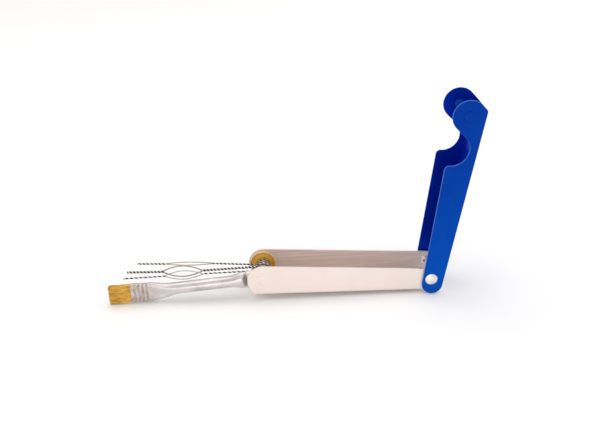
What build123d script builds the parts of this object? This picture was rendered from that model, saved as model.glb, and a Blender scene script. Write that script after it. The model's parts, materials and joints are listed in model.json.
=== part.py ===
from build123d import *
import math
import os

# A folding pocket tool for cleaning grooves. A riveted aluminium case holds a flat brush and
# three twisted wire picks, which swing out on one pivot pin. A blue cover turns about two
# tubular rivets at the other end: it closes over the case, or opens to make a longer handle.
#
# Every piece is modelled where it is simplest. The case and what is riveted to it stand in the
# case frame: the tool pivot is the origin, X runs to the cover pivot and Z is up. The cover and
# the tools are modelled pointing along +X from their own pivot, as they lie when folded or fully
# opened, and the rest angles below turn them. The last lines stand the whole tool on the table.

# ---- driving dimensions, in millimetres and degrees ----
pivot_spacing = 98.0  # tool pivot to cover pivot

case_width = 22.0  # over the outside of the two walls
case_wall = 1.0
tool_ear_centre = (0.3, 0.7)  # round end of the walls at the tool pivot
tool_ear_radius = 9.2
cover_ear_radius = 5.9  # round end of the walls about the cover pivot
case_floor = ((-4.8, -9.0), (95.0, -8.1))  # underside of the case's floor, from end to end
case_bend = 1.5  # outside bend radius of the sheet

cover_wall = 1.1
cover_gap = 0.55  # between a case wall and the cover wall outside it
cover_end_centre = (-3.6, -1.25)  # round end past the cover pivot
cover_end_radius = 5.95
cover_edge_slope = 2.0  # how far the open edge leans away from the pivot line
lobe_centre = (98.9, 0.5)
lobe_radius = 8.9
notch_centre = (80.0, 5.5)
notch_radius = 9.3
notch_corner_radius = 2.5
cover_edge_round = 0.45
back_start = 4.0  # where the cover's back begins, from the cover pivot
back_end = 4.4  # how far the back runs straight on past the lobes' centres
back_corner_radius = 2.0
dimple_radius = 2.6
dimple_rise = 0.45
closed_angle = 1.8  # the cover's pivot line against the case's when closed

pin_radius = 2.0
pin_head_radius = 2.9
pin_head_rise = 0.4
bush_radius = 3.2
washer_radius = 4.8
running_clearance = 0.05
face_clearance = 0.03

rivet_shank_radius = 1.6
rivet_head_radius = 3.5
rivet_head_rise = 1.1
rivet_bore_radius = 1.0
rivet_curl_radius = 2.75  # the curled end inside the case
rivet_curl_rise = 0.9
cover_washer_radius = 4.4

# Places along the pivot pin, as Y from the middle plane: +Y is the far side.
cup_floor = (9.45, 9.95)
cup_floor_radius = 5.6
cup_rim_radius = 8.1
cup_bore_radius = 3.4  # loose on the pin, so that the cup sits high
cup_shift = (-0.3, 1.2)
flange_span = (7.7, 8.2)
long_bush_span = (5.6, 9.45)
washer_spans = ((4.1, 5.6), (1.4, 2.1), (-0.7, 0.0))
short_bush_spans = ((2.1, 4.1), (0.0, 1.4))
long_spacer_span = (-5.5, -0.7)
short_spacer_span = (-9.95, -7.0)

# The brush: a rolled tinned tube, pressed flat at the pivot and round the bristles.
brush_y = -6.25
tube_radius = 3.5
tube_skin = 0.4
tab_half_width = 5.5
tab_thickness = 1.4
shoulder_start = 6.5  # inside the tab
shoulder_narrowing = (10.0, 20.0)  # where the tab's width eases down to the tube's
shoulder_rise = (9.0, 12.5)  # where its thickness grows to the tube's
upper_flare = (56.0, 66.0)  # where the tube widens on the side that is up when it is open
lower_flare = (48.0, 71.0)  # and on the other side
ferrule_start = 67.2
ferrule_end = 78.6
ferrule_half_width = 6.2
ferrule_half_thickness = 1.95
ferrule_skew = (0.8, -0.1)  # how far its two ends stand off the tube's centre line
crimp_count = 4
crimp_pitch = 2.4
crimp_depth = 0.35
bristle_tip = 92.6
bristle_slant = 1.1  # the lower corner of the tuft is this much longer
tuft_root = (5.65, 1.4)  # half width and half thickness inside the ferrule
tuft_tip = (6.2, 1.8)
tip_skew = -0.15

# The picks, from the far side to the near side. Each is one wire doubled back: a loop on the
# bush, a twisted neck, an open eye, and a twisted point. rise is the shank's offset from the
# pivot line, eye holds the two ends of the open eye as (distance, height).
picks = (
    dict(name="pick_medium", y=6.9, wire=0.60, rise=1.2, eye=((31.0, 2.0), (58.5, 1.6)),
         tip=(76.0, 1.6), opening=1.8, upright=False, open_angle=178.4),
    dict(name="pick_thick", y=3.1, wire=0.80, rise=2.0, eye=((37.0, 0.6), (60.0, 0.6)),
         tip=(81.5, 0.9), opening=3.6, upright=True, open_angle=180.5),
    dict(name="pick_thin", y=0.7, wire=0.50, rise=0.9, eye=((36.5, 1.1), (58.7, 1.1)),
         tip=(84.0, 1.1), opening=2.85, upright=True, open_angle=182.6),
)
loop_clearance = 0.1  # between a loop and its bush
neck_bend = 3.0  # radius of the reverse bend from a loop to its shank
loop_opening = 28.0  # degrees left open in each loop

# Rest angles: how far each moving body stands from its folded place.
cover_open_angle = 96.27
brush_open_angle = 186.1

wall_y = case_width / 2
inner_y = wall_y - case_wall
cover_inner_y = wall_y + cover_gap
cover_outer_y = cover_inner_y + cover_wall


def dome_middle(radius, base, rise):
    """A point half way out along a domed head's outline, so that its centre is on the axis."""
    ball = (radius**2 + rise**2) / (2 * rise)
    return (radius / 2, base + rise - ball + math.sqrt(ball**2 - (radius / 2) ** 2))


def ring(outer, inner, span):
    """Draws the half section of a plain ring about Y, between two places along the pin."""
    with Locations(((outer + inner) / 2, (span[0] + span[1]) / 2)):
        Rectangle(outer - inner, span[1] - span[0])


def plain_ring(label, outer, inner, span):
    """A washer, sleeve or spacer on the tool pivot."""
    with BuildPart() as piece:
        with BuildSketch(Plane.XY):
            ring(outer, inner, span)
        revolve(axis=Axis.Y)
    piece.part.label = label
    return piece.part


def around(centre, radius, angle):
    """The point on a circle in the side view, at an angle in radians from +X to +Z."""
    return (centre[0] + radius * math.cos(angle), centre[1] + radius * math.sin(angle))


def make_case():
    """The folded sheet case: two walls with round ends, joined by the floor."""
    (floor_x0, floor_z0), (floor_x1, floor_z1) = case_floor
    # The walls' edge runs from the floor's end as a tangent of the ear.
    across, down = floor_x0 - tool_ear_centre[0], floor_z0 - tool_ear_centre[1]
    corner_turn = math.atan2(down, across) - math.acos(tool_ear_radius / math.hypot(across, down))
    with BuildPart() as case:
        with BuildSketch(Plane.XZ):
            with BuildLine():
                Polyline(
                    around(tool_ear_centre, tool_ear_radius, math.pi / 2),
                    (pivot_spacing, cover_ear_radius),
                    (floor_x1 + case_bend, 0),
                    (floor_x1, floor_z1),
                    (floor_x0, floor_z0),
                    around(tool_ear_centre, tool_ear_radius, corner_turn),
                    close=True,
                )
            make_face()
            with Locations(tool_ear_centre):
                Circle(tool_ear_radius)
            with Locations((pivot_spacing, 0)):
                Circle(cover_ear_radius)
        extrude(amount=wall_y, both=True)
        long_edges = case.edges().filter_by(lambda e: e.length > 0.9 * (floor_x1 - floor_x0))
        fillet(long_edges.group_by(Axis.Z)[0], case_bend)
        with BuildSketch(Plane.XZ):
            with BuildLine():
                Polyline(
                    (floor_x0 - pivot_spacing, floor_z0 + case_wall),
                    (floor_x0, floor_z0 + case_wall),
                    (floor_x1, floor_z1 + case_wall),
                    (floor_x1 + pivot_spacing, floor_z1 + case_wall),
                    (floor_x1 + pivot_spacing, pivot_spacing),
                    (floor_x0 - pivot_spacing, pivot_spacing),
                    close=True,
                )
            make_face()
        extrude(amount=inner_y, both=True, mode=Mode.SUBTRACT)
        inside = case.edges().filter_by(lambda e: e.length > 0.9 * (floor_x1 - floor_x0))
        fillet(
            inside.filter_by(lambda e: abs(abs(e.center().Y) - inner_y) < 1e-3 and e.center().Z < 0),
            case_bend - case_wall,
        )
        # Past each end of the floor only the two walls go on.
        for start, direction in ((floor_x0, -1), (floor_x1, 1)):
            with Locations((start + direction * pivot_spacing / 2, 0, 0)):
                Box(pivot_spacing, 2 * inner_y, pivot_spacing, mode=Mode.SUBTRACT)
        with Locations(Plane.XZ):
            Hole(pin_radius + running_clearance)
        with Locations(Plane(origin=(pivot_spacing, 0, 0), x_dir=(1, 0, 0), z_dir=(0, -1, 0))):
            Hole(rivet_shank_radius + running_clearance)
    case.part.label = "case"
    return case.part


# The cover's back is the common tangent of its round end and its lobes, on the lower side.
end_to_lobe = math.dist(cover_end_centre, lobe_centre)
back_normal = (
    math.atan2(lobe_centre[1] - cover_end_centre[1], lobe_centre[0] - cover_end_centre[0])
    - math.asin((lobe_radius - cover_end_radius) / end_to_lobe)
    - math.pi / 2
)
# The edge between the notch and a lobe is their crossed tangent.
edge_normal = math.atan2(
    lobe_centre[1] - notch_centre[1], lobe_centre[0] - notch_centre[0]
) - math.acos((notch_radius + lobe_radius) / math.dist(notch_centre, lobe_centre))


def make_cover():
    """The pressed cover: two walls with a notch and round lobes, joined along the back."""
    lean_in = math.radians(cover_edge_slope)
    edge_start = around(cover_end_centre, cover_end_radius, math.pi / 2 + lean_in)
    edge_run = notch_centre[0] - edge_start[0]
    edge_over_notch = (notch_centre[0], edge_start[1] + edge_run * math.tan(lean_in))
    corner_turn = 2 * math.atan(back_end / lobe_radius)
    back_corner = around(
        lobe_centre, math.hypot(lobe_radius, back_end), back_normal + corner_turn / 2
    )
    with BuildPart() as cover:
        with BuildSketch(Plane.XZ) as side:
            with BuildLine():
                Polyline(
                    around(cover_end_centre, cover_end_radius, back_normal),
                    edge_start,
                    edge_over_notch,
                    around(notch_centre, notch_radius, edge_normal),
                    around(lobe_centre, -lobe_radius, edge_normal),
                    around(lobe_centre, lobe_radius, back_normal + corner_turn),
                    back_corner,
                    close=True,
                )
            make_face()
            with Locations(cover_end_centre):
                Circle(cover_end_radius)
            with Locations(lobe_centre):
                Circle(lobe_radius)
            with Locations(notch_centre):
                Circle(notch_radius, mode=Mode.SUBTRACT)
            corner = side.vertices().sort_by(
                lambda v: math.dist((v.X, v.Z), edge_over_notch)
                - (v.X < notch_centre[0]) * notch_radius
            )[0]
            fillet(corner, notch_corner_radius)
            corner = side.vertices().sort_by(lambda v: math.dist((v.X, v.Z), back_corner))[0]
            fillet(corner, back_corner_radius)
        extrude(amount=cover_outer_y, both=True)
        rim = cover.faces().filter_by(Axis.Y).edges()
        fillet(rim, cover_edge_round)
        # The room between the walls, open on the notched side and at the pivot end.
        with BuildSketch(Plane.XZ):
            with BuildLine():
                under_lobe = around(lobe_centre, lobe_radius - cover_wall, back_normal)
                back_lean = math.tan(back_normal + math.pi / 2)
                far = 2 * pivot_spacing
                Polyline(
                    (back_start, -far),
                    (back_start, under_lobe[1] + (back_start - under_lobe[0]) * back_lean),
                    (far, under_lobe[1] + (far - under_lobe[0]) * back_lean),
                    (far, far),
                    (-far, far),
                    (-far, -far),
                    close=True,
                )
            make_face()
        extrude(amount=cover_inner_y, both=True, mode=Mode.SUBTRACT)
        # A shallow dimple stands out of the middle of each lobe.
        for side_sign in (-1, 1):
            with BuildSketch(Plane.XZ.offset(-side_sign * cover_outer_y)):
                with Locations(lobe_centre):
                    Circle(dimple_radius + cover_wall / 2)
            extrude(amount=-side_sign * dimple_rise)
        tops = cover.faces().filter_by(Axis.Y).filter_by(
            lambda f: abs(abs(f.center().Y) - cover_outer_y - dimple_rise) < 1e-3
        )
        fillet(tops.edges(), dimple_rise * 0.9)
        for side_sign in (-1, 1):
            with BuildSketch(Plane.XZ.offset(-side_sign * cover_inner_y)):
                with Locations(lobe_centre):
                    Circle(dimple_radius)
            extrude(amount=-side_sign * dimple_rise, mode=Mode.SUBTRACT)
        with Locations(Plane.XZ):
            Hole(rivet_shank_radius + running_clearance)
    cover.part.label = "cover"
    return cover.part


def make_pivot_pin():
    """The tool pivot: a solid rivet with a low domed head outside each wall."""
    head_y = wall_y + face_clearance
    with BuildPart() as pin:
        with BuildSketch(Plane.XY):
            with BuildLine():
                crown = (0, head_y + pin_head_rise)
                middle = dome_middle(pin_head_radius, head_y, pin_head_rise)
                Line((0, 0), crown)
                ThreePointArc(crown, middle, (pin_head_radius, head_y))
                Polyline((pin_head_radius, head_y), (pin_radius, head_y), (pin_radius, 0), (0, 0))
            make_face()
            mirror(about=Plane.XZ)
        revolve(axis=Axis.Y)
    pin.part.label = "tool_pivot_pin"
    return pin.part


def make_cover_rivet():
    """A tubular rivet on the far side: domed head outside the cover, curled end inside."""
    head_y = cover_outer_y + face_clearance
    curl_y = inner_y - face_clearance
    with BuildPart() as rivet:
        with BuildSketch(Plane.XY):
            with BuildLine():
                Polyline(
                    (0, head_y + rivet_head_rise),
                    (0, inner_y + case_wall),
                    (rivet_bore_radius, inner_y + case_wall),
                    (rivet_bore_radius, curl_y),
                )
                ThreePointArc(
                    (rivet_bore_radius, curl_y),
                    ((rivet_bore_radius + rivet_curl_radius) / 2, curl_y - rivet_curl_rise),
                    (rivet_curl_radius, curl_y),
                )
                Polyline(
                    (rivet_curl_radius, curl_y),
                    (rivet_shank_radius, curl_y),
                    (rivet_shank_radius, head_y),
                    (rivet_head_radius, head_y),
                )
                ThreePointArc(
                    (rivet_head_radius, head_y),
                    dome_middle(rivet_head_radius, head_y, rivet_head_rise),
                    (0, head_y + rivet_head_rise),
                )
            make_face()
        revolve(axis=Axis.Y)
    return rivet.part


def make_cup_washer():
    """The brass cup washer: a flat floor on the far wall, a cone and a flat rim."""
    skin = cup_floor[1] - cup_floor[0]
    rim_y = flange_span[1]
    with BuildPart() as cup:
        with BuildSketch(Plane.XY):
            with BuildLine():
                Polyline(
                    (cup_bore_radius, cup_floor[1]),
                    (cup_bore_radius, cup_floor[0]),
                    (cup_floor_radius, cup_floor[0]),
                    (cup_rim_radius - 0.8, rim_y),
                    (cup_rim_radius, rim_y),
                    (cup_rim_radius, rim_y + skin),
                    (cup_rim_radius - 0.5, rim_y + skin),
                    (cup_floor_radius + 0.35, cup_floor[1]),
                    close=True,
                )
            make_face()
        revolve(axis=Axis.Y)
    cup.part.label = "cup_washer"
    return cup.part


def make_flanged_bush():
    """The far bush: its flange keeps the first pick away from the cup washer."""
    with BuildPart() as bush:
        with BuildSketch(Plane.XY):
            ring(bush_radius, pin_radius + running_clearance, long_bush_span)
            ring(washer_radius, bush_radius, flange_span)
        revolve(axis=Axis.Y)
    bush.part.label = "flanged_bush"
    return bush.part


def oval_points(half_width, half_thickness, power, count=24):
    """Points round a superellipse: power 2 is an ellipse, and more is squarer."""
    points = []
    for k in range(count):
        turn = 2 * math.pi * k / count
        across, through = math.cos(turn), math.sin(turn)
        points.append((
            half_width * math.copysign(abs(across) ** (2 / power), across),
            half_thickness * math.copysign(abs(through) ** (2 / power), through),
        ))
    return points


def straight(place, start, end, first, last):
    """The value at a place on the straight line from first, at start, to last, at end."""
    return first + (last - first) * (place - start) / (end - start)


def eased(place, start, end, first, last):
    """A value that goes smoothly from first, before start, to last, after end."""
    t = min(1.0, max(0.0, (place - start) / (end - start)))
    return first + (last - first) * t * t * (3 - 2 * t)


def brush_sides(place):
    """(upper, lower) edge heights of the brush at a place along it, folded and upside down."""
    if place > ferrule_end:
        centre = straight(place, ferrule_end, bristle_tip, ferrule_skew[1], tip_skew)
        return centre - ferrule_half_width, centre + ferrule_half_width
    centre = straight(place, ferrule_start, ferrule_end, *ferrule_skew)
    upper = eased(place, *upper_flare, -tube_radius, centre - ferrule_half_width)
    lower = eased(place, *lower_flare, tube_radius, centre + ferrule_half_width)
    return upper, lower


def brush_size(place):
    """(half width, half thickness, squareness) of the tube and its mouth at a place."""
    upper, lower = brush_sides(place)
    thickness = eased(place, lower_flare[0], ferrule_start, tube_radius, ferrule_half_thickness)
    return (lower - upper) / 2, thickness, eased(place, *lower_flare, 2.0, 3.6)


def cross_plane(place):
    """The plane across the brush at a place along it, with its own X along the width. It is
    square to the tube, and then to the ferrule, which points a little upwards."""
    ferrule_length = ferrule_end - ferrule_start
    lean = eased(place, *upper_flare, 0, (ferrule_skew[1] - ferrule_skew[0]) / ferrule_length)
    centre = sum(brush_sides(place)) / 2 if place > lower_flare[0] else 0
    return Plane(origin=(place, 0, centre), x_dir=(-lean, 0, 1), z_dir=(1, 0, lean))


def thinner(size, skin):
    """A section's size inside a skin."""
    return size[0] - skin, size[1] - skin, size[2]


# (place, (half width, half thickness, squareness)) along the brush, stretch by stretch.
tube = (tube_radius, tube_radius, 2.0)
mouth = (tuft_root[0] + running_clearance, tuft_root[1] + running_clearance, 3.6)
shoulder = [
    (place, (
        eased(place, *shoulder_narrowing, tab_half_width - 0.3, tube_radius),
        eased(place, *shoulder_rise, tab_thickness * 0.4, tube_radius),
        eased(place, *shoulder_rise, 3.0, 2.0),
    ))
    for place in (shoulder_start, 9.0, 10.0, 11.0, 12.5, 14.0, 16.0, 20.0)
]
flare = [(place, brush_size(place)) for place in (48.0, 52.0, 56.0, 60.0, 64.0, ferrule_start)]
bore = ((22.0, thinner(tube, tube_skin)), (lower_flare[0], thinner(tube, tube_skin)))
hollow = [(place, thinner(brush_size(place), tube_skin)) for place in (48.0, 54.0, 60.0)]
hollow.append((ferrule_start, mouth))


def ferrule():
    """The straight mouth of the brush, with its row of crimped grooves."""
    sections = [(ferrule_start, brush_size(ferrule_start))]
    for k in range(crimp_count):
        for offset, depth in ((-1 / 3, 0), (0, crimp_depth), (1 / 3, 0)):
            place = ferrule_start + crimp_pitch * (k + 0.75 + offset)
            wide, thick, power = brush_size(place)
            sections.append((place, (wide - depth / 3, thick - depth, power)))
    sections.append((ferrule_end, brush_size(ferrule_end)))
    return sections


def make_brush_handle():
    """The tube, hollow up to the mouth that holds the bristles, with its flat pivot tab."""
    outside, inside = Mode.ADD, Mode.SUBTRACT
    with BuildPart() as handle:
        for sections, ruled, mode in (
            (shoulder, True, outside),
            ((shoulder[-1], flare[0]), True, outside),
            (flare, False, outside),
            (ferrule(), True, outside),
            (bore, True, inside),
            (hollow, False, inside),
            (((ferrule_start, mouth), (ferrule_end + 1, mouth)), True, inside),
        ):
            for place, size in sections:
                with BuildSketch(cross_plane(place)):
                    with BuildLine():
                        Spline(*oval_points(*size), periodic=True)
                    make_face()
            loft(ruled=ruled, mode=mode)
        with BuildSketch(Plane.XZ):
            Circle(tab_half_width)
            with Locations((4.5, 0)):
                Rectangle(9.0, 2 * tab_half_width)
        extrude(amount=tab_thickness / 2, both=True)
        with Locations(Plane.XZ):
            Hole(pin_radius + running_clearance)
    handle.part.label = "brush_handle"
    return handle.part


def make_bristles():
    """The tuft as one closed solid, held in the ferrule and trimmed on a slant."""
    beyond = bristle_tip + 2
    with BuildPart() as tuft:
        for place, size in (
            (ferrule_start + 0.5, tuft_root),
            (ferrule_end, tuft_root),
            (beyond, tuft_tip),
        ):
            with BuildSketch(cross_plane(place)):
                with BuildLine():
                    Spline(*oval_points(*size, 3.6), periodic=True)
                make_face()
        loft(ruled=True)
        with BuildSketch(Plane.XZ):
            with BuildLine():
                low = tip_skew - tuft_tip[0]
                high = tip_skew + tuft_tip[0]
                Polyline(
                    (bristle_tip, high + 2),
                    (bristle_tip, high),
                    (bristle_tip - bristle_slant, low),
                    (bristle_tip - bristle_slant, low - 2),
                    (beyond + 2, low - 2),
                    (beyond + 2, high + 2),
                    close=True,
                )
            make_face()
        extrude(amount=tuft_tip[1] + 1, both=True, mode=Mode.SUBTRACT)
    tuft.part.label = "bristles"
    return tuft.part


def make_pick(pick):
    """One wire pick, pointing along +X. Each twisted stretch is a rod as thick as the twist.
    Heights are measured down here, because a pick hangs the other way up when it is open."""
    twist_radius = pick["wire"]
    loop_radius = bush_radius + loop_clearance + twist_radius
    rise = pick["rise"]
    bend_height = rise + neck_bend
    bend_x = math.sqrt((loop_radius + neck_bend) ** 2 - bend_height**2)
    meeting = math.degrees(math.atan2(bend_height, bend_x))
    (eye_x0, eye_z0), (eye_x1, eye_z1) = pick["eye"]
    tip_x, tip_z = pick["tip"]
    bend_centre = (bend_x, -bend_height)
    eye_start = (eye_x0, -eye_z0)
    towards_eye = math.atan2(eye_start[1] - bend_centre[1], eye_start[0] - bend_centre[0])
    leaving = towards_eye + math.acos(neck_bend / math.dist(bend_centre, eye_start))
    with BuildPart() as wire:
        with BuildLine(Plane.XZ) as path:
            loop = CenterArc((0, 0), loop_radius, -meeting + loop_opening, 360 - loop_opening)
            turning = math.degrees(leaving) - (180 - meeting)
            turn = CenterArc(bend_centre, neck_bend, 180 - meeting, turning)
            Line(turn @ 1, eye_start)
        with BuildSketch(Plane(origin=loop @ 0, z_dir=loop % 0)):
            Circle(twist_radius)
        sweep(path=path.wires()[0])
        with BuildLine(Plane.XZ) as point:
            Line((eye_x1, -eye_z1), (tip_x, -tip_z))
        with BuildSketch(Plane(origin=point.line @ 0, z_dir=point.line % 0)):
            Circle(twist_radius)
        sweep(path=point.line)
        overlap = 2 * twist_radius
        middle_x = (eye_x0 + eye_x1) / 2
        middle_z = (eye_z0 + eye_z1) / 2
        for side_sign in (-1, 1):
            bulge = side_sign * pick["opening"]
            middle = (
                (middle_x, 0, -middle_z + bulge) if pick["upright"]
                else (middle_x, bulge, -middle_z)
            )
            with BuildLine() as strand:
                ThreePointArc(
                    (eye_x0 - overlap, 0, -eye_z0),
                    middle,
                    (eye_x1 + overlap, 0, -eye_z1),
                )
            with BuildSketch(Plane(origin=strand.line @ 0, z_dir=strand.line % 0)):
                Circle(pick["wire"] / 2)
            sweep(path=strand.line)
    wire.part.label = pick["name"]
    return wire.part


def turned(angle):
    """Turns a piece up about its pivot by an angle measured from +X towards +Z."""
    return Location((0, 0, 0), (0, -angle, 0))


# ---- the pieces, each in its own node ----
rivet = make_cover_rivet()
rivet_place = Location((pivot_spacing, 0, 0))
at_cover_pivot = {
    "cover_rivet_far": rivet_place * rivet,
    "cover_rivet_near": rivet_place * Rot(0, 0, 180) * rivet,
}
for label, span in (
    ("cover_washer_far", (wall_y + 0.02, cover_inner_y - 0.02)),
    ("cover_washer_near", (-cover_inner_y + 0.02, -wall_y - 0.02)),
):
    washer = plain_ring(label, cover_washer_radius, rivet_shank_radius + running_clearance, span)
    at_cover_pivot[label] = rivet_place * washer

pin_bore = pin_radius + running_clearance
root_pieces = {
    "case": make_case(),
    "tool_pivot_pin": make_pivot_pin(),
    "cup_washer": Location((cup_shift[0], 0, cup_shift[1])) * make_cup_washer(),
    "flanged_bush": make_flanged_bush(),
    "long_spacer": plain_ring("long_spacer", bush_radius, pin_bore, long_spacer_span),
    "short_spacer": plain_ring("short_spacer", bush_radius, pin_bore, short_spacer_span),
    **at_cover_pivot,
}
for number, span in enumerate(washer_spans, start=1):
    name = f"pivot_washer_{number}"
    root_pieces[name] = plain_ring(name, washer_radius, pin_bore, span)
for number, span in enumerate(short_bush_spans, start=1):
    name = f"pick_bush_{number}"
    root_pieces[name] = plain_ring(name, bush_radius, pin_bore, span)

brush_place = Location((0, brush_y, 0)) * turned(brush_open_angle)
tuft = make_bristles()
tuft_corner = tuft.vertices().sort_by(lambda v: v.X + v.Z)[-1]
brush_pieces = {
    "brush_handle": brush_place * make_brush_handle(),
    "bristles": brush_place * tuft,
}
cover_rest_angle = 180 - closed_angle - cover_open_angle
cover_pieces = {"cover": rivet_place * turned(cover_rest_angle) * make_cover()}
pick_pieces = {
    pick["name"]: Location((0, pick["y"], 0)) * turned(pick["open_angle"]) * make_pick(pick)
    for pick in picks
}
in_case_frame = {**root_pieces, **cover_pieces, **brush_pieces, **pick_pieces}

# ---- standing on the table: it touches at the cover's round ends and the brush's tip ----
def swung(point, pivot, angle):
    """A side-view point, turned with its piece by an angle in radians and set on its pivot."""
    return (
        pivot[0] + point[0] * math.cos(angle) - point[1] * math.sin(angle),
        pivot[1] + point[0] * math.sin(angle) + point[1] * math.cos(angle),
    )


cover_pivot = (pivot_spacing, 0)
end_at_rest = swung(cover_end_centre, cover_pivot, math.radians(cover_rest_angle))
tuft_corner = (tuft_corner.X, tuft_corner.Z)
tip_at_rest = swung(tuft_corner, (0, 0), math.radians(brush_open_angle))
reach = math.dist(end_at_rest, tip_at_rest)
rise = math.atan2(end_at_rest[1] - tip_at_rest[1], end_at_rest[0] - tip_at_rest[0])
lean = rise - math.asin(cover_end_radius / reach)
left, bottom = swung(tip_at_rest, (0, 0), -lean)
right = (turned(-math.degrees(lean)) * in_case_frame["cover"]).bounding_box().max.X
standing = Location((-(left + right) / 2, 0, -bottom)) * turned(-math.degrees(lean))

tool_pivot_at_rest = (standing * Location((0, 0, 0))).position
cover_pivot_at_rest = (standing * Location((pivot_spacing, 0, 0))).position

os.makedirs("parts", exist_ok=True)
for name, piece in in_case_frame.items():
    placed = standing * piece
    placed.label = name
    export_step(placed, f"parts/{name}.step")

print("lean", round(math.degrees(lean), 4), "tool pivot", tool_pivot_at_rest, "cover pivot", cover_pivot_at_rest)
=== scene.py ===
"""A folding groove-cleaning tool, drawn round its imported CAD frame. Lengths are in metres."""

import json
import math
import random

import bmesh
import bpy
from mathutils import Matrix, Vector


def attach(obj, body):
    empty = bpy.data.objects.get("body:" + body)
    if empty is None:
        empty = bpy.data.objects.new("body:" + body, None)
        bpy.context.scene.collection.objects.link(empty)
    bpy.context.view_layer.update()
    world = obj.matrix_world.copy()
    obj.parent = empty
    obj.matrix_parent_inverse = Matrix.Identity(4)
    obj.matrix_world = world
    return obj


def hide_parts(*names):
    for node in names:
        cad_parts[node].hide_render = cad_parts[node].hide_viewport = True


MM = 0.001

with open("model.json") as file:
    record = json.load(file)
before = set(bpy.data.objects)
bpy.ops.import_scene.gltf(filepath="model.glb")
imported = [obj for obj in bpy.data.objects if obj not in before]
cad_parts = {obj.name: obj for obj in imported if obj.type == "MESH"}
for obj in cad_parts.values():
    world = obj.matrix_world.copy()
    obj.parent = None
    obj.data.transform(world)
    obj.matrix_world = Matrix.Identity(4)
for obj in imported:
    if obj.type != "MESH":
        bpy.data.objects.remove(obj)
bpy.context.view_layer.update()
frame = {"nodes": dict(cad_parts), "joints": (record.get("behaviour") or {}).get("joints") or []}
joints = {joint["name"]: joint for joint in frame["joints"]}

# ---- places that follow from the frame ----
TOOL_PIVOT = Vector(joints["brush_hinge"]["pos_m"])
COVER_PIVOT = Vector(joints["cover_hinge"]["pos_m"])
CASE_LEAN = math.atan2(TOOL_PIVOT.z - COVER_PIVOT.z, COVER_PIVOT.x - TOOL_PIVOT.x)

# Distances from the middle plane at which a wall's painted shade or highlight changes: the inner
# faces of the case and of the cover, and where the rounded edges of the cover's outer faces begin.
CASE_INNER_Y = 0.01001
COVER_INNER_Y = 0.01156
COVER_EDGE_Y = 0.01255

# How far each tool stands round from its folded place, which points along the case.
REST_TURN = {
    "brush": 186.1,
    "medium_pick": 178.4,
    "thick_pick": 180.5,
    "thin_pick": 182.6,
}

# ---- the brass cup: where its middle stands from the tool pivot, in millimetres along the case
# and up from it, and the radius in metres beyond which its rim gets a painted pale highlight ----
CUP_SHIFT = (-0.3, 1.2)
CUP_HIGHLIGHT_RADIUS = 0.0074

# ---- the brush, in millimetres along it from its pivot ----
BRUSH_Y = -6.25
TUBE_RADIUS = 3.5
TAB_HALF_WIDTH = 5.5
TAB_THICKNESS = 1.4
TAB_HOLE = 2.05
TAB_END = 8.5
SHOULDER_NARROWING = (10.0, 20.0)
SHOULDER_RISE = (9.0, 12.5)
UPPER_FLARE = (56.0, 66.0)
LOWER_FLARE = (48.0, 71.0)
FERRULE_START = 67.2
FERRULE_END = 78.6
FERRULE_HALF_WIDTH = 6.2
FERRULE_HALF_THICKNESS = 1.95
FERRULE_SKEW = (0.8, -0.1)
FERRULE_LOOK = 0.067  # in metres: about where the duller tin takes over
TIP_SKEW = -0.15
CRIMPS = 4
CRIMP_PITCH = 2.4
CRIMP_DEPTH = 0.5
GROOVE_SHADE_SHARE = 0.45  # a crimp is painted darker, as shade, where it is deeper than this share
TUFT_ROOT = (5.65, 1.4)
TUFT_TIP = (6.2, 1.8)
TUFT_SLANT = 1.1
TUFT_END = 92.6
FIBRES_WIDE = 46
FIBRES_DEEP = 11
FIBRE_RADIUS = 0.15
FIBRE_SIDES = 5
FIBRE_STEPS = 5
FIBRE_SEED = 7
TUFT_DEPTH = 2.0  # how far the fibres reach back into the ferrule
CLUMPS = 10

# ---- the picks, in millimetres: see pick_centre_line for what each number does ----
BUSH_RADIUS = 3.2
LOOP_CLEARANCE = 0.1
NECK_BEND = 3.0
LOOP_OPENING = math.radians(28)
CREST_HIGHLIGHT_FACING = 0.5  # how squarely a strand's surface faces outwards where it gets a painted highlight
PICKS = {
    "pick_medium": {
        "body": "medium_pick", "y": 6.9, "wire": 0.60, "rise": 1.2, "pitch": 2.35,
        "eye": ((31.0, 2.0), (58.5, 1.6)), "tip": (76.0, 1.6), "opening": 1.8, "upright": False,
    },
    "pick_thick": {
        "body": "thick_pick", "y": 3.1, "wire": 0.80, "rise": 2.0, "pitch": 2.1,
        "eye": ((37.0, 0.6), (60.0, 0.6)), "tip": (81.5, 0.9), "opening": 3.6, "upright": True,
    },
    "pick_thin": {
        "body": "thin_pick", "y": 0.7, "wire": 0.50, "rise": 0.9, "pitch": 2.8,
        "eye": ((36.5, 1.1), (58.7, 1.1)), "tip": (84.0, 1.1), "opening": 2.85, "upright": True,
    },
}


def on_tool(body, y):
    """Takes a tool drawn in millimetres along +X from its pivot to its place at rest."""
    turn = CASE_LEAN - math.radians(REST_TURN[body])
    at = Matrix.Translation(TOOL_PIVOT + Vector((0, y * MM, 0)))
    return at @ Matrix.Rotation(turn, 4, "Y") @ Matrix.Scale(MM, 4)


def mesh_object(name, bm, material):
    """A finished bmesh as a smooth-shaded object with one material."""
    bmesh.ops.recalc_face_normals(bm, faces=bm.faces)
    mesh = bpy.data.meshes.new(name)
    bm.to_mesh(mesh)
    bm.free()
    for polygon in mesh.polygons:
        polygon.use_smooth = True
    mesh.materials.append(material)
    obj = bpy.data.objects.new(name, mesh)
    bpy.context.scene.collection.objects.link(obj)
    return obj


def bridge_rings(bm, rings, close_ends=True):
    """Skins a list of vertex rings of equal length, and caps both ends."""
    for ring, following in zip(rings, rings[1:]):
        count = len(ring)
        for k in range(count):
            bm.faces.new((ring[k], ring[(k + 1) % count], following[(k + 1) % count], following[k]))
    if close_ends:
        bm.faces.new(list(reversed(rings[0])))
        bm.faces.new(rings[-1])


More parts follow.
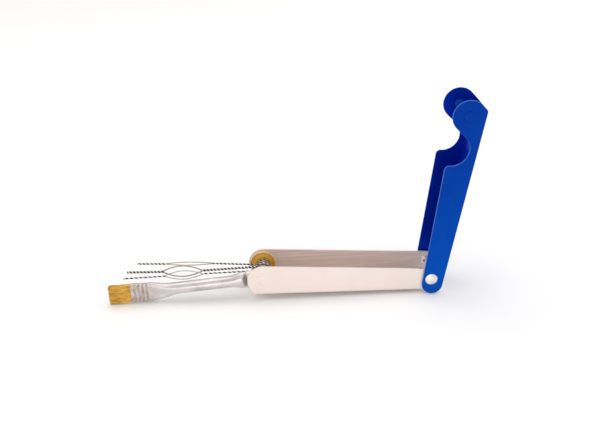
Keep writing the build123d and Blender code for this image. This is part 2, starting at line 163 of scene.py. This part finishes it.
# ---- materials ----
class Paint:
    """A node material built a step at a time, round one Principled shader."""

    def __init__(self, name, metallic, roughness):
        self.material = bpy.data.materials.new(name)
        self.material.use_nodes = True
        self.nodes = self.material.node_tree.nodes
        self.links = self.material.node_tree.links
        self.shader = self.nodes["Principled BSDF"]
        self.shader.inputs["Metallic"].default_value = metallic
        self.shader.inputs["Roughness"].default_value = roughness
        self.place = self.nodes.new("ShaderNodeTexCoord").outputs["Object"]

    def stretched(self, stretch, turn=(0, 0, 0)):
        """Object coordinates, scaled along each axis."""
        mapping = self.nodes.new("ShaderNodeMapping")
        mapping.inputs["Scale"].default_value = stretch
        mapping.inputs["Rotation"].default_value = turn
        self.links.new(self.place, mapping.inputs["Vector"])
        return mapping.outputs["Vector"]

    def noise(self, vector, scale, detail=4.0, roughness=0.55):
        """A noise value from 0 to 1."""
        node = self.nodes.new("ShaderNodeTexNoise")
        node.inputs["Scale"].default_value = scale
        node.inputs["Detail"].default_value = detail
        node.inputs["Roughness"].default_value = roughness
        self.links.new(vector, node.inputs["Vector"])
        return node.outputs["Fac"]

    def ramp(self, value, stops):
        """Turns a value into a colour through (place, colour) stops."""
        node = self.nodes.new("ShaderNodeValToRGB")
        elements = node.color_ramp.elements
        while len(elements) < len(stops):
            elements.new(0.5)
        for element, (place, colour) in zip(elements, stops):
            element.position = place
            element.color = (*colour, 1.0)
        self.links.new(value, node.inputs["Fac"])
        return node.outputs["Color"]

    def levels(self, value, low, high):
        """Maps a value from 0.3..0.7 to low..high."""
        node = self.nodes.new("ShaderNodeMapRange")
        node.inputs["From Min"].default_value = 0.3
        node.inputs["From Max"].default_value = 0.7
        node.inputs["To Min"].default_value = low
        node.inputs["To Max"].default_value = high
        self.links.new(value, node.inputs["Value"])
        return node.outputs["Result"]

    def mix(self, factor, first, second):
        """Mixes two colours by a value."""
        node = self.nodes.new("ShaderNodeMix")
        node.data_type = "RGBA"
        self.links.new(factor, node.inputs["Factor"])
        self.links.new(first, node.inputs[6])
        self.links.new(second, node.inputs[7])
        return node.outputs[2]

    def colour(self, output):
        """Sets the surface's colour."""
        self.links.new(output, self.shader.inputs["Base Color"])

    def rough(self, output):
        """Sets the surface's roughness."""
        self.links.new(output, self.shader.inputs["Roughness"])

    def bump(self, value, height, strength=0.5):
        """Raises the surface by a value, over a height in metres."""
        node = self.nodes.new("ShaderNodeBump")
        node.inputs["Strength"].default_value = strength
        node.inputs["Distance"].default_value = height
        self.links.new(value, node.inputs["Height"])
        if self.shader.inputs["Normal"].is_linked:
            earlier = self.shader.inputs["Normal"].links[0].from_socket
            self.links.new(earlier, node.inputs["Normal"])
        self.links.new(node.outputs["Normal"], self.shader.inputs["Normal"])

    def reach(self, pivot, limit, blur=0.00005):
        """1 where the surface is further than a limit from a pivot's axis, and 0 within it."""
        moved = self.nodes.new("ShaderNodeMapping")
        moved.inputs["Location"].default_value = -pivot
        self.links.new(self.place, moved.inputs["Vector"])
        flat = self.nodes.new("ShaderNodeVectorMath")
        flat.operation = "MULTIPLY"
        flat.inputs[1].default_value = (1.0, 0.0, 1.0)
        self.links.new(moved.outputs["Vector"], flat.inputs[0])
        size = self.nodes.new("ShaderNodeVectorMath")
        size.operation = "LENGTH"
        self.links.new(flat.outputs["Vector"], size.inputs[0])
        beyond = self.nodes.new("ShaderNodeMapRange")
        beyond.inputs["From Min"].default_value = limit - blur
        beyond.inputs["From Max"].default_value = limit + blur
        self.links.new(size.outputs["Value"], beyond.inputs["Value"])
        return beyond.outputs["Result"]

    def apart(self, inner_y):
        """1 where the surface is inside the channel's walls, and 0 outside."""
        split = self.nodes.new("ShaderNodeSeparateXYZ")
        self.links.new(self.place, split.inputs["Vector"])
        size = self.nodes.new("ShaderNodeMath")
        size.operation = "ABSOLUTE"
        self.links.new(split.outputs["Y"], size.inputs[0])
        inside = self.nodes.new("ShaderNodeMath")
        inside.operation = "LESS_THAN"
        inside.inputs[1].default_value = inner_y
        self.links.new(size.outputs["Value"], inside.inputs[0])
        return inside.outputs["Value"]


def brushed_aluminium():
    """Satin sheet, drawn lengthways: near white outside, and darker and greyer inside, where that is
    painted shade between the walls.
    """
    paint = Paint("brushed_aluminium", metallic=0.55, roughness=0.42)
    streaks = paint.noise(paint.stretched((30, 900, 900), (0, CASE_LEAN, 0)), 1.0, 6.0)
    clouds = paint.noise(paint.place, 60.0, 3.0)
    outside = paint.ramp(clouds, ((0.3, (0.87, 0.75, 0.695)), (0.7, (0.90, 0.795, 0.74))))
    # inside: painted shade between the walls, darker and greyer than outside
    inside = paint.ramp(streaks, ((0.3, (0.70, 0.60, 0.545)), (0.7, (0.93, 0.83, 0.775))))
    paint.colour(paint.mix(paint.apart(CASE_INNER_Y), outside, inside))
    paint.rough(paint.levels(streaks, 0.36, 0.52))
    paint.bump(streaks, 0.00004, 0.35)
    return paint.material


def blue_coating():
    """Deep blue anodised sheet, with painted light: darker away from the pivot and between the
    walls, where that is painted shade, and paler along its rounded edges, where that is a painted
    highlight."""
    paint = Paint("blue_coating", metallic=0.65, roughness=0.36)
    clouds = paint.noise(paint.place, 35.0, 3.0)
    # near and far: the blue painted as lit near the pivot and as shaded away from it
    near = paint.ramp(clouds, ((0.3, (0.000, 0.060, 0.41)), (0.7, (0.000, 0.078, 0.47))))
    far = paint.ramp(clouds, ((0.3, (0.000, 0.034, 0.31)), (0.7, (0.001, 0.048, 0.36))))
    face = paint.mix(paint.reach(COVER_PIVOT, 0.045, 0.035), near, far)
    # edge: a painted highlight along the rounded edges, a paler blue
    edge = paint.ramp(clouds, ((0.3, (0.012, 0.110, 0.52)), (0.7, (0.020, 0.150, 0.62))))
    # inside: painted shade between the walls, a deeper blue
    inside = paint.ramp(clouds, ((0.3, (0.000, 0.022, 0.40)), (0.7, (0.000, 0.034, 0.46))))
    outer = paint.mix(paint.apart(COVER_EDGE_Y), face, edge)
    paint.colour(paint.mix(paint.apart(COVER_INNER_Y), outer, inside))
    paint.rough(paint.levels(paint.noise(paint.place, 180.0, 5.0), 0.30, 0.42))
    paint.bump(paint.noise(paint.place, 900.0, 2.0), 0.00002, 0.25)
    paint.shader.inputs["Specular IOR Level"].default_value = 0.08
    return paint.material


def brass_cup():
    """Tarnished brass in the cup, with a painted pale highlight on its flat rim."""
    paint = Paint("tarnished_brass", metallic=0.20, roughness=0.28)
    clouds = paint.noise(paint.place, 320.0, 4.0)
    cup = paint.ramp(clouds, ((0.3, (1.00, 0.46, 0.030)), (0.7, (1.00, 0.66, 0.11))))
    # rim: a painted highlight, pale, beyond the highlight radius
    rim = paint.ramp(clouds, ((0.3, (0.78, 0.66, 0.50)), (0.7, (0.92, 0.84, 0.72))))
    middle = TOOL_PIVOT + Matrix.Rotation(CASE_LEAN, 3, "Y") @ Vector((*CUP_SHIFT, 0)).xzy * MM
    paint.colour(paint.mix(paint.reach(middle, CUP_HIGHLIGHT_RADIUS), cup, rim))
    paint.rough(paint.levels(clouds, 0.26, 0.38))
    paint.bump(paint.noise(paint.place, 1800.0, 3.0), 0.00002, 0.3)
    return paint.material


def metal(name, dark, light, roughness, scale=250.0, metallic=1.0, step=None):
    """Plain worked metal: its colour and roughness wander a little. step is the (pivot, radius)
    of a ring that the riveting tool left."""
    paint = Paint(name, metallic, roughness)
    clouds = paint.noise(paint.place, scale, 5.0)
    paint.colour(paint.ramp(clouds, ((0.3, dark), (0.7, light))))
    paint.rough(paint.levels(clouds, roughness * 0.8, min(1.0, roughness * 1.3)))
    paint.bump(paint.noise(paint.place, scale * 6, 3.0), 0.00002, 0.3)
    if step:
        paint.bump(paint.reach(*step, 0.0002), 0.0002, 0.8)
    return paint.material


def tinplate():
    """Bright tin plate with soft blotches, duller and brownish where it grips the bristles."""
    paint = Paint("tinplate", metallic=0.85, roughness=0.36)
    blotches = paint.noise(paint.stretched((0.5, 1.0, 1.0)), 130.0, 5.0, 0.6)
    tones = ((0.3, (0.50, 0.455, 0.46)), (0.5, (0.66, 0.615, 0.61)), (0.7, (0.82, 0.785, 0.775)))
    dull = ((0.3, (0.34, 0.275, 0.24)), (0.5, (0.56, 0.49, 0.445)), (0.7, (0.74, 0.69, 0.65)))
    bright_tin = paint.ramp(blotches, tones)
    dull_tin = paint.ramp(paint.noise(paint.place, 420.0, 5.0, 0.65), dull)
    paint.colour(paint.mix(paint.reach(TOOL_PIVOT, FERRULE_LOOK, 0.006), bright_tin, dull_tin))
    paint.rough(paint.levels(blotches, 0.32, 0.44))
    paint.bump(paint.noise(paint.place, 420.0, 4.0), 0.00006, 0.35)
    return paint.material


def fibre():
    """Golden fibre: each one a little different, with brown clumps between them."""
    paint = Paint("golden_fibre", metallic=0.0, roughness=0.45)
    along = paint.stretched((0.12, 1.0, 1.0), (0, CASE_LEAN - math.radians(5.7), 0))
    strands = paint.noise(along, 2200.0, 3.0, 0.7)
    tones = (
        (0.30, (0.26, 0.105, 0.010)),
        (0.42, (0.66, 0.34, 0.035)),
        (0.55, (0.88, 0.52, 0.060)),
        (0.70, (0.98, 0.70, 0.140)),
    )
    paint.colour(paint.ramp(strands, tones))
    paint.shader.inputs["Sheen Weight"].default_value = 0.15
    return paint.material


# ---- the brush ----
def blend(place, start, end, first, last):
    """A value that eases from first, before start, to last, after end."""
    t = min(1.0, max(0.0, (place - start) / (end - start)))
    return first + (last - first) * t * t * (3 - 2 * t)


def straight(place, start, end, first, last):
    """A value on the straight line from first, at start, to last, at end."""
    return first + (last - first) * (place - start) / (end - start)


def brush_sides(place):
    """(upper, lower) edge heights of the brush at a place along it, folded and upside down."""
    if place > FERRULE_END:
        centre = straight(place, FERRULE_END, TUFT_END, FERRULE_SKEW[1], TIP_SKEW)
        return centre - FERRULE_HALF_WIDTH, centre + FERRULE_HALF_WIDTH
    centre = straight(place, FERRULE_START, FERRULE_END, *FERRULE_SKEW)
    upper = blend(place, *UPPER_FLARE, -TUBE_RADIUS, centre - FERRULE_HALF_WIDTH)
    lower = blend(place, *LOWER_FLARE, TUBE_RADIUS, centre + FERRULE_HALF_WIDTH)
    return upper, lower


def brush_point(place, through, across):
    """A point of the brush, from its section. The ferrule's sections lean over a little."""
    slope = (FERRULE_SKEW[1] - FERRULE_SKEW[0]) / (FERRULE_END - FERRULE_START)
    lean = blend(place, *UPPER_FLARE, 0.0, slope)
    centre = sum(brush_sides(place)) / 2 if place > LOWER_FLARE[0] else 0.0
    return (place - lean * across, through, centre + across)


def crimp(place):
    """How deep in a crimped groove a place is, from 0 to 1."""
    along = (place - FERRULE_START) / CRIMP_PITCH - 0.25
    return math.sin(math.pi * along) ** 4 if 0 < along < CRIMPS else 0.0


def brush_shape(place):
    """Half width, half thickness and squareness of the handle at a place along it."""
    if place < SHOULDER_NARROWING[1]:
        wide = blend(place, *SHOULDER_NARROWING, TAB_HALF_WIDTH - 0.3, TUBE_RADIUS)
        thick = blend(place, *SHOULDER_RISE, TAB_THICKNESS / 2, TUBE_RADIUS)
        return wide, thick, blend(place, *SHOULDER_RISE, 2.6, 2.0)
    upper, lower = brush_sides(place)
    wide = (lower - upper) / 2 - 0.05
    thick = blend(place, LOWER_FLARE[0], FERRULE_START, TUBE_RADIUS, FERRULE_HALF_THICKNESS)
    square = blend(place, *LOWER_FLARE, 2.0, 3.6)
    groove = crimp(place)
    return wide - 0.15 * groove, thick - CRIMP_DEPTH * groove, square


def oval(wide, thick, power, count, seam=0.0):
    """Points round a superellipse, as (thickness, width), with a shallow seam on one face."""
    for k in range(count):
        turn = 2 * math.pi * k / count
        across, through = math.cos(turn), math.sin(turn)
        w = wide * math.copysign(abs(across) ** (2 / power), across)
        t = thick * math.copysign(abs(through) ** (2 / power), through)
        away = abs((turn - 1.25 * math.pi + math.pi) % (2 * math.pi) - math.pi)
        notch = 1 - seam * math.exp(-((away / 0.06) ** 2))
        yield t * notch, w * notch


def build_brush_handle(tin, groove_shade_tin):
    """The rolled tube, flared and crimped round the bristles, with its flat pivot tab."""
    count = 96
    bm = bmesh.new()
    stations = [TAB_END + 0.3 * k for k in range(40)]
    stations += [stations[-1] + 2.2 * k for k in range(1, 13)]
    stations += [LOWER_FLARE[0] + 0.5 * k for k in range(38)]
    crimped = int((FERRULE_END - FERRULE_START) / 0.15)
    stations += [FERRULE_START + 0.15 * k for k in range(crimped + 1)]
    stations = sorted(set(round(place, 3) for place in stations if place < FERRULE_END))
    rings = []
    for place in stations:
        wide, thick, power = brush_shape(place)
        outline = oval(wide, thick, power, count, seam=0.035)
        rings.append([bm.verts.new(brush_point(place, t, w)) for t, w in outline])
    # The mouth's rolled lip, and its inside as far as the tuft's root.
    wide, thick, power = brush_shape(FERRULE_END)
    lip = ((0.0, 0.0), (0.12, 0.10), (0.12, 0.30), (0.0, 0.42), (-4.0, 0.45))
    for forward, inward in lip:
        place = FERRULE_END + forward - 0.12
        outline = oval(wide - inward, thick - inward, power, count)
        rings.append([bm.verts.new(brush_point(place, t, w)) for t, w in outline])
    bridge_rings(bm, rings)
    bm.faces.ensure_lookup_table()
    # Faces deep in a crimp take the second material: painted shade in the grooves.
    for k, place in enumerate(stations):
        if crimp(place) > GROOVE_SHADE_SHARE:
            for face in bm.faces[k * count : (k + 1) * count]:
                face.material_index = 1

    # The tab: a flat plate with a round end and the pin's hole.
    steps = 48
    outer, inner = [], []
    for k in range(2 * steps):
        turn = 2 * math.pi * k / (2 * steps)
        c, s = math.cos(turn), math.sin(turn)
        if c > 0:
            reach = min((TAB_END + 1.5) / max(c, 1e-6), TAB_HALF_WIDTH / max(abs(s), 1e-6))
        else:
            reach = TAB_HALF_WIDTH
        outer.append((reach * c, reach * s))
        inner.append((TAB_HOLE * c, TAB_HOLE * s))
    edge = 0.25
    levels = (
        (inner, -TAB_THICKNESS / 2, 1.0), (outer, -TAB_THICKNESS / 2, 1 - edge / TAB_HALF_WIDTH),
        (outer, -TAB_THICKNESS / 2 + edge, 1.0), (outer, TAB_THICKNESS / 2 - edge, 1.0),
        (outer, TAB_THICKNESS / 2, 1 - edge / TAB_HALF_WIDTH), (inner, TAB_THICKNESS / 2, 1.0),
    )
    tab = [[bm.verts.new((x * f, y, z * f)) for x, z in points] for points, y, f in levels]
    bridge_rings(bm, [*tab, tab[0]], close_ends=False)
    bm.transform(on_tool("brush", BRUSH_Y))
    handle = mesh_object("brush_tube", bm, tin)
    handle.data.materials.append(groove_shade_tin)
    handle.data.set_sharp_from_angle(angle=math.radians(50))
    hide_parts("brush_handle")
    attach(handle, "brush")


def build_tuft(material):
    """The bristles, one by one: a packed block that spreads and clumps towards its tip."""
    rng = random.Random(FIBRE_SEED)
    bm = bmesh.new()
    clumps = [rng.uniform(-0.95, 0.95) for _ in range(CLUMPS)]
    for i in range(FIBRES_WIDE):
        for j in range(FIBRES_DEEP):
            u = (i + 0.5 + rng.uniform(-0.35, 0.35)) / FIBRES_WIDE * 2 - 1
            v = (j + 0.5 + rng.uniform(-0.35, 0.35)) / FIBRES_DEEP * 2 - 1
            nearest = min(clumps, key=lambda c: abs(c - u))
            gather = 0.30 * (nearest - u) * (1 - abs(u) ** 3)
            tip_u = max(-1.0, min(1.0, u + gather + rng.gauss(0, 0.02)))
            tip_v = max(-1.0, min(1.0, v + rng.gauss(0, 0.12)))
            length = TUFT_END - TUFT_SLANT * (1 - tip_u) / 2 + rng.uniform(-0.5, 0.0)
            rings = []
            for k in range(FIBRE_STEPS + 1):
                t = k / FIBRE_STEPS
                start = FERRULE_END - TUFT_DEPTH
                place = start + (length - start) * t
                wide = TUFT_ROOT[0] + (TUFT_TIP[0] - TUFT_ROOT[0]) * t - FIBRE_RADIUS
                thick = TUFT_ROOT[1] + (TUFT_TIP[1] - TUFT_ROOT[1]) * t - FIBRE_RADIUS
                lean = brush_point(start, 0.0, u * wide)[0] - start
                x = place + lean * (1 - t)
                z = wide * (u + (tip_u - u) * t * t) + sum(brush_sides(place)) / 2
                y = thick * (v + (tip_v - v) * t * t)
                radius = FIBRE_RADIUS * (1 - 0.35 * t)
                ring = []
                for corner in range(FIBRE_SIDES):
                    turn = 2 * math.pi * corner / FIBRE_SIDES
                    offset = (radius * math.cos(turn), radius * math.sin(turn))
                    ring.append(bm.verts.new((x, y + offset[0], z + offset[1])))
                rings.append(ring)
            bridge_rings(bm, rings)
    bm.transform(on_tool("brush", BRUSH_Y))
    tuft = mesh_object("bristle_tuft", bm, material)
    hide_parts("bristles")
    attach(tuft, "brush")


# ---- the picks ----
def arc(centre, radius, start, sweep, count):
    """Points round an arc in the side view."""
    for k in range(count):
        turn = start + sweep * k / (count - 1)
        yield (centre[0] + radius * math.cos(turn), centre[1] + radius * math.sin(turn))


def run(start, end, step):
    """Points along a straight stretch, without its first one."""
    length = math.dist(start, end)
    count = max(2, round(length / step))
    for k in range(1, count + 1):
        t = k / count
        yield (start[0] + (end[0] - start[0]) * t, start[1] + (end[1] - start[1]) * t)


def pick_centre_line(pick):
    """(points, first, last) of the pair's centre line: a loop round the bush, a reverse bend
    and a shank to the eye. first and last number the points where the eye opens and shuts."""
    loop_radius = BUSH_RADIUS + LOOP_CLEARANCE + pick["wire"]
    height = pick["rise"] + NECK_BEND
    bend_x = math.sqrt((loop_radius + NECK_BEND) ** 2 - height**2)
    meeting = math.atan2(height, bend_x)
    bend = (bend_x, -height)
    eye_start = (pick["eye"][0][0], -pick["eye"][0][1])
    eye_end = (pick["eye"][1][0], -pick["eye"][1][1])
    tip = (pick["tip"][0], -pick["tip"][1])
    towards = math.atan2(eye_start[1] - bend[1], eye_start[0] - bend[0])
    leaving = towards + math.acos(NECK_BEND / math.dist(bend, eye_start))
    points = list(arc((0, 0), loop_radius, -meeting + LOOP_OPENING, 2 * math.pi - LOOP_OPENING, 120))
    turning = leaving - (math.pi - meeting)
    points += list(arc(bend, NECK_BEND, math.pi - meeting, turning, 24))[1:]
    points += list(run(points[-1], eye_start, 0.22))
    first = len(points) - 1
    points += list(run(eye_start, eye_end, 0.35))
    last = len(points) - 1
    points += list(run(eye_end, tip, 0.22))
    return points, first, last


def build_pick(name, wires):
    """Two strands of one wire, twisted together except where they part round the eye. They are dark
    between them, partly oil and partly painted shade, carry a painted highlight on their crests and
    are plain at the eye."""
    pick = PICKS[name]
    wire = pick["wire"]
    points, first, last = pick_centre_line(pick)
    lengths = [0.0]
    for before, after in zip(points, points[1:]):
        lengths.append(lengths[-1] + math.dist(before, after))
    open_phase = math.pi / 2 if pick["upright"] else 0.0
    bm = bmesh.new()
    for side in (0, math.pi):
        centres, crests = [], []
        for k, (x, z) in enumerate(points):
            before, after = points[max(0, k - 1)], points[min(len(points) - 1, k + 1)]
            along = Vector((after[0] - before[0], 0, after[1] - before[1])).normalized()
            up = Vector((-along.z, 0, along.x))
            if k < first:
                phase = open_phase + math.pi * (lengths[k] - lengths[first]) / pick["pitch"]
                apart = wire / 2
            elif k > last:
                phase = open_phase + math.pi * (lengths[k] - lengths[last]) / pick["pitch"]
                apart = wire / 2
            else:
                phase = open_phase
                t = (lengths[k] - lengths[first]) / (lengths[last] - lengths[first])
                bulge = math.sin(math.pi * t) ** 0.9 if 0 < t < 1 else 0.0
                apart = wire / 2 + (pick["opening"] - wire / 2) * bulge
            across = Vector((0, math.cos(phase + side), 0)) + up * math.sin(phase + side)
            centres.append(Vector((x, 0, z)) + across * apart)
            crests.append(across if k < first or k > last else None)
        sides = 10
        rings, tones = [], []
        for k, centre in enumerate(centres):
            before, after = centres[max(0, k - 1)], centres[min(len(centres) - 1, k + 1)]
            along = (after - before).normalized()
            right = along.cross(Vector((0, 0, 1))).normalized()
            over = right.cross(along)
            ring = []
            for corner in range(sides):
                turn = 2 * math.pi * corner / sides
                offset = right * math.cos(turn) + over * math.sin(turn)
                ring.append(bm.verts.new(centre + offset * (wire / 2)))
                middle = turn + math.pi / sides
                facing = right * math.cos(middle) + over * math.sin(middle)
                eye = crests[k] is None
                # Tone 2 is a painted highlight on the crests; tone 0 is dark wire, partly oil and
                # partly painted shade; tone 1 is the plain eye.
                tones.append(1 if eye else 2 if facing.dot(crests[k]) > CREST_HIGHLIGHT_FACING else 0)
            rings.append(ring)
        already = len(bm.faces)
        bridge_rings(bm, rings)
        bm.faces.ensure_lookup_table()
        for face, tone in zip(bm.faces[already:], tones[:-sides]):
            face.material_index = tone
    bm.transform(on_tool(pick["body"], pick["y"]))
    twisted = mesh_object("twisted_" + name, bm, wires[0])
    for material in wires[1:]:
        twisted.data.materials.append(material)
    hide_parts(name)
    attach(twisted, pick["body"])


# ---- assembly ----
steel = metal("plated_steel", (0.42, 0.41, 0.40), (0.66, 0.65, 0.64), 0.32)
pale_steel = metal("pale_steel", (0.72, 0.70, 0.67), (0.93, 0.91, 0.88), 0.26)
rivet = ((0.80, 0.75, 0.70), (0.95, 0.90, 0.86), 0.36)
nylon = ((0.70, 0.69, 0.66), (0.82, 0.81, 0.78), 0.5, 300.0, 0.0)
surfaces = {
    "case": brushed_aluminium(),
    "cover": blue_coating(),
    "cup_washer": brass_cup(),
    "flanged_bush": pale_steel,
    "tool_pivot_pin": metal(
        "pin_aluminium", (0.84, 0.73, 0.68), (0.90, 0.80, 0.75), 0.40, 300.0, 0.6,
        step=(TOOL_PIVOT, 0.0019),
    ),
    "cover_rivet_far": metal("rivet_steel_far", *rivet, step=(COVER_PIVOT, 0.0021)),
    "cover_rivet_near": metal("rivet_steel_near", *rivet, step=(COVER_PIVOT, 0.0021)),
    "cover_washer_far": metal("nylon_far", *nylon),
    "cover_washer_near": metal("nylon_near", *nylon),
}
for node, obj in frame["nodes"].items():
    material = surfaces.get(node, steel)
    obj.data.materials.clear()
    obj.data.materials.append(material)

# The darker tin is the crimp grooves' painted shade.
groove_shade_tin = metal("groove_shade_tin", (0.36, 0.305, 0.28), (0.62, 0.55, 0.51), 0.40, 420.0)
build_brush_handle(tinplate(), groove_shade_tin)
build_tuft(fibre())
# The dark wire is partly oil and partly painted shade; the crest wire is a painted highlight.
wires = (
    metal("dark_wire", (0.018, 0.012, 0.013), (0.070, 0.055, 0.055), 0.36, 500.0),
    metal("eye_wire", (0.28, 0.25, 0.215), (0.46, 0.42, 0.37), 0.34, 500.0),
    metal("crest_highlight_wire", (0.52, 0.49, 0.46), (0.85, 0.81, 0.78), 0.32, 500.0),
)
for pick_name in PICKS:
    build_pick(pick_name, wires)


# ---- the studio ----
def make_studio():
    """A pale floor that runs up to a white surround, with broad soft lights."""
    bm = bmesh.new()
    bmesh.ops.create_grid(bm, x_segments=2, y_segments=2, size=6.0)
    paint = Paint("studio_white", metallic=0.0, roughness=0.9)
    paint.colour(paint.ramp(paint.noise(paint.place, 3.0), ((0.3, (0.96,) * 3), (0.7, (0.98,) * 3))))
    floor = mesh_object("studio_floor", bm, paint.material)
    world = bpy.data.worlds.new("studio_world")
    bpy.context.scene.world = world
    world.use_nodes = True
    background = world.node_tree.nodes["Background"]
    background.inputs["Color"].default_value = (1.0, 0.985, 0.975, 1.0)
    background.inputs["Strength"].default_value = 0.74
    # Name, place, what it faces, width in metres and power in watts.
    lights = (
        ("softbox_over", (0.0, 0.50, 2.20), (0.0, 0.30, 0.0), 2.4, 19.0),
        ("softbox_front", (-0.30, -1.60, 0.30), (0.0, 0.0, 0.03), 1.0, 4.5),
        ("softbox_right", (1.40, 0.10, 0.70), (0.08, 0.0, 0.06), 0.8, 2.0),
    )
    for name, place, target, size, power in lights:
        light = bpy.data.lights.new(name, "AREA")
        light.shape = "DISK"
        light.size = size
        light.energy = power
        lamp = bpy.data.objects.new(name, light)
        lamp.location = place
        aim = Vector(target) - Vector(place)
        lamp.rotation_euler = aim.to_track_quat("-Z", "Y").to_euler()
        bpy.context.scene.collection.objects.link(lamp)


def make_camera():
    """The viewpoint: in front of the case, above it and looking down a little."""
    data = bpy.data.cameras.new("camera")
    data.lens = 41.62
    data.sensor_width = 36.0
    data.clip_start = 0.01
    data.clip_end = 50.0
    camera = bpy.data.objects.new("camera", data)
    camera.location = (0.00902, -0.35531, 0.22640)
    camera.rotation_euler = [math.radians(a) for a in (63.546, 2.748, -1.148)]
    bpy.context.scene.collection.objects.link(camera)
    bpy.context.scene.camera = camera


make_studio()
make_camera()
bpy.context.scene.view_settings.view_transform = "Standard"
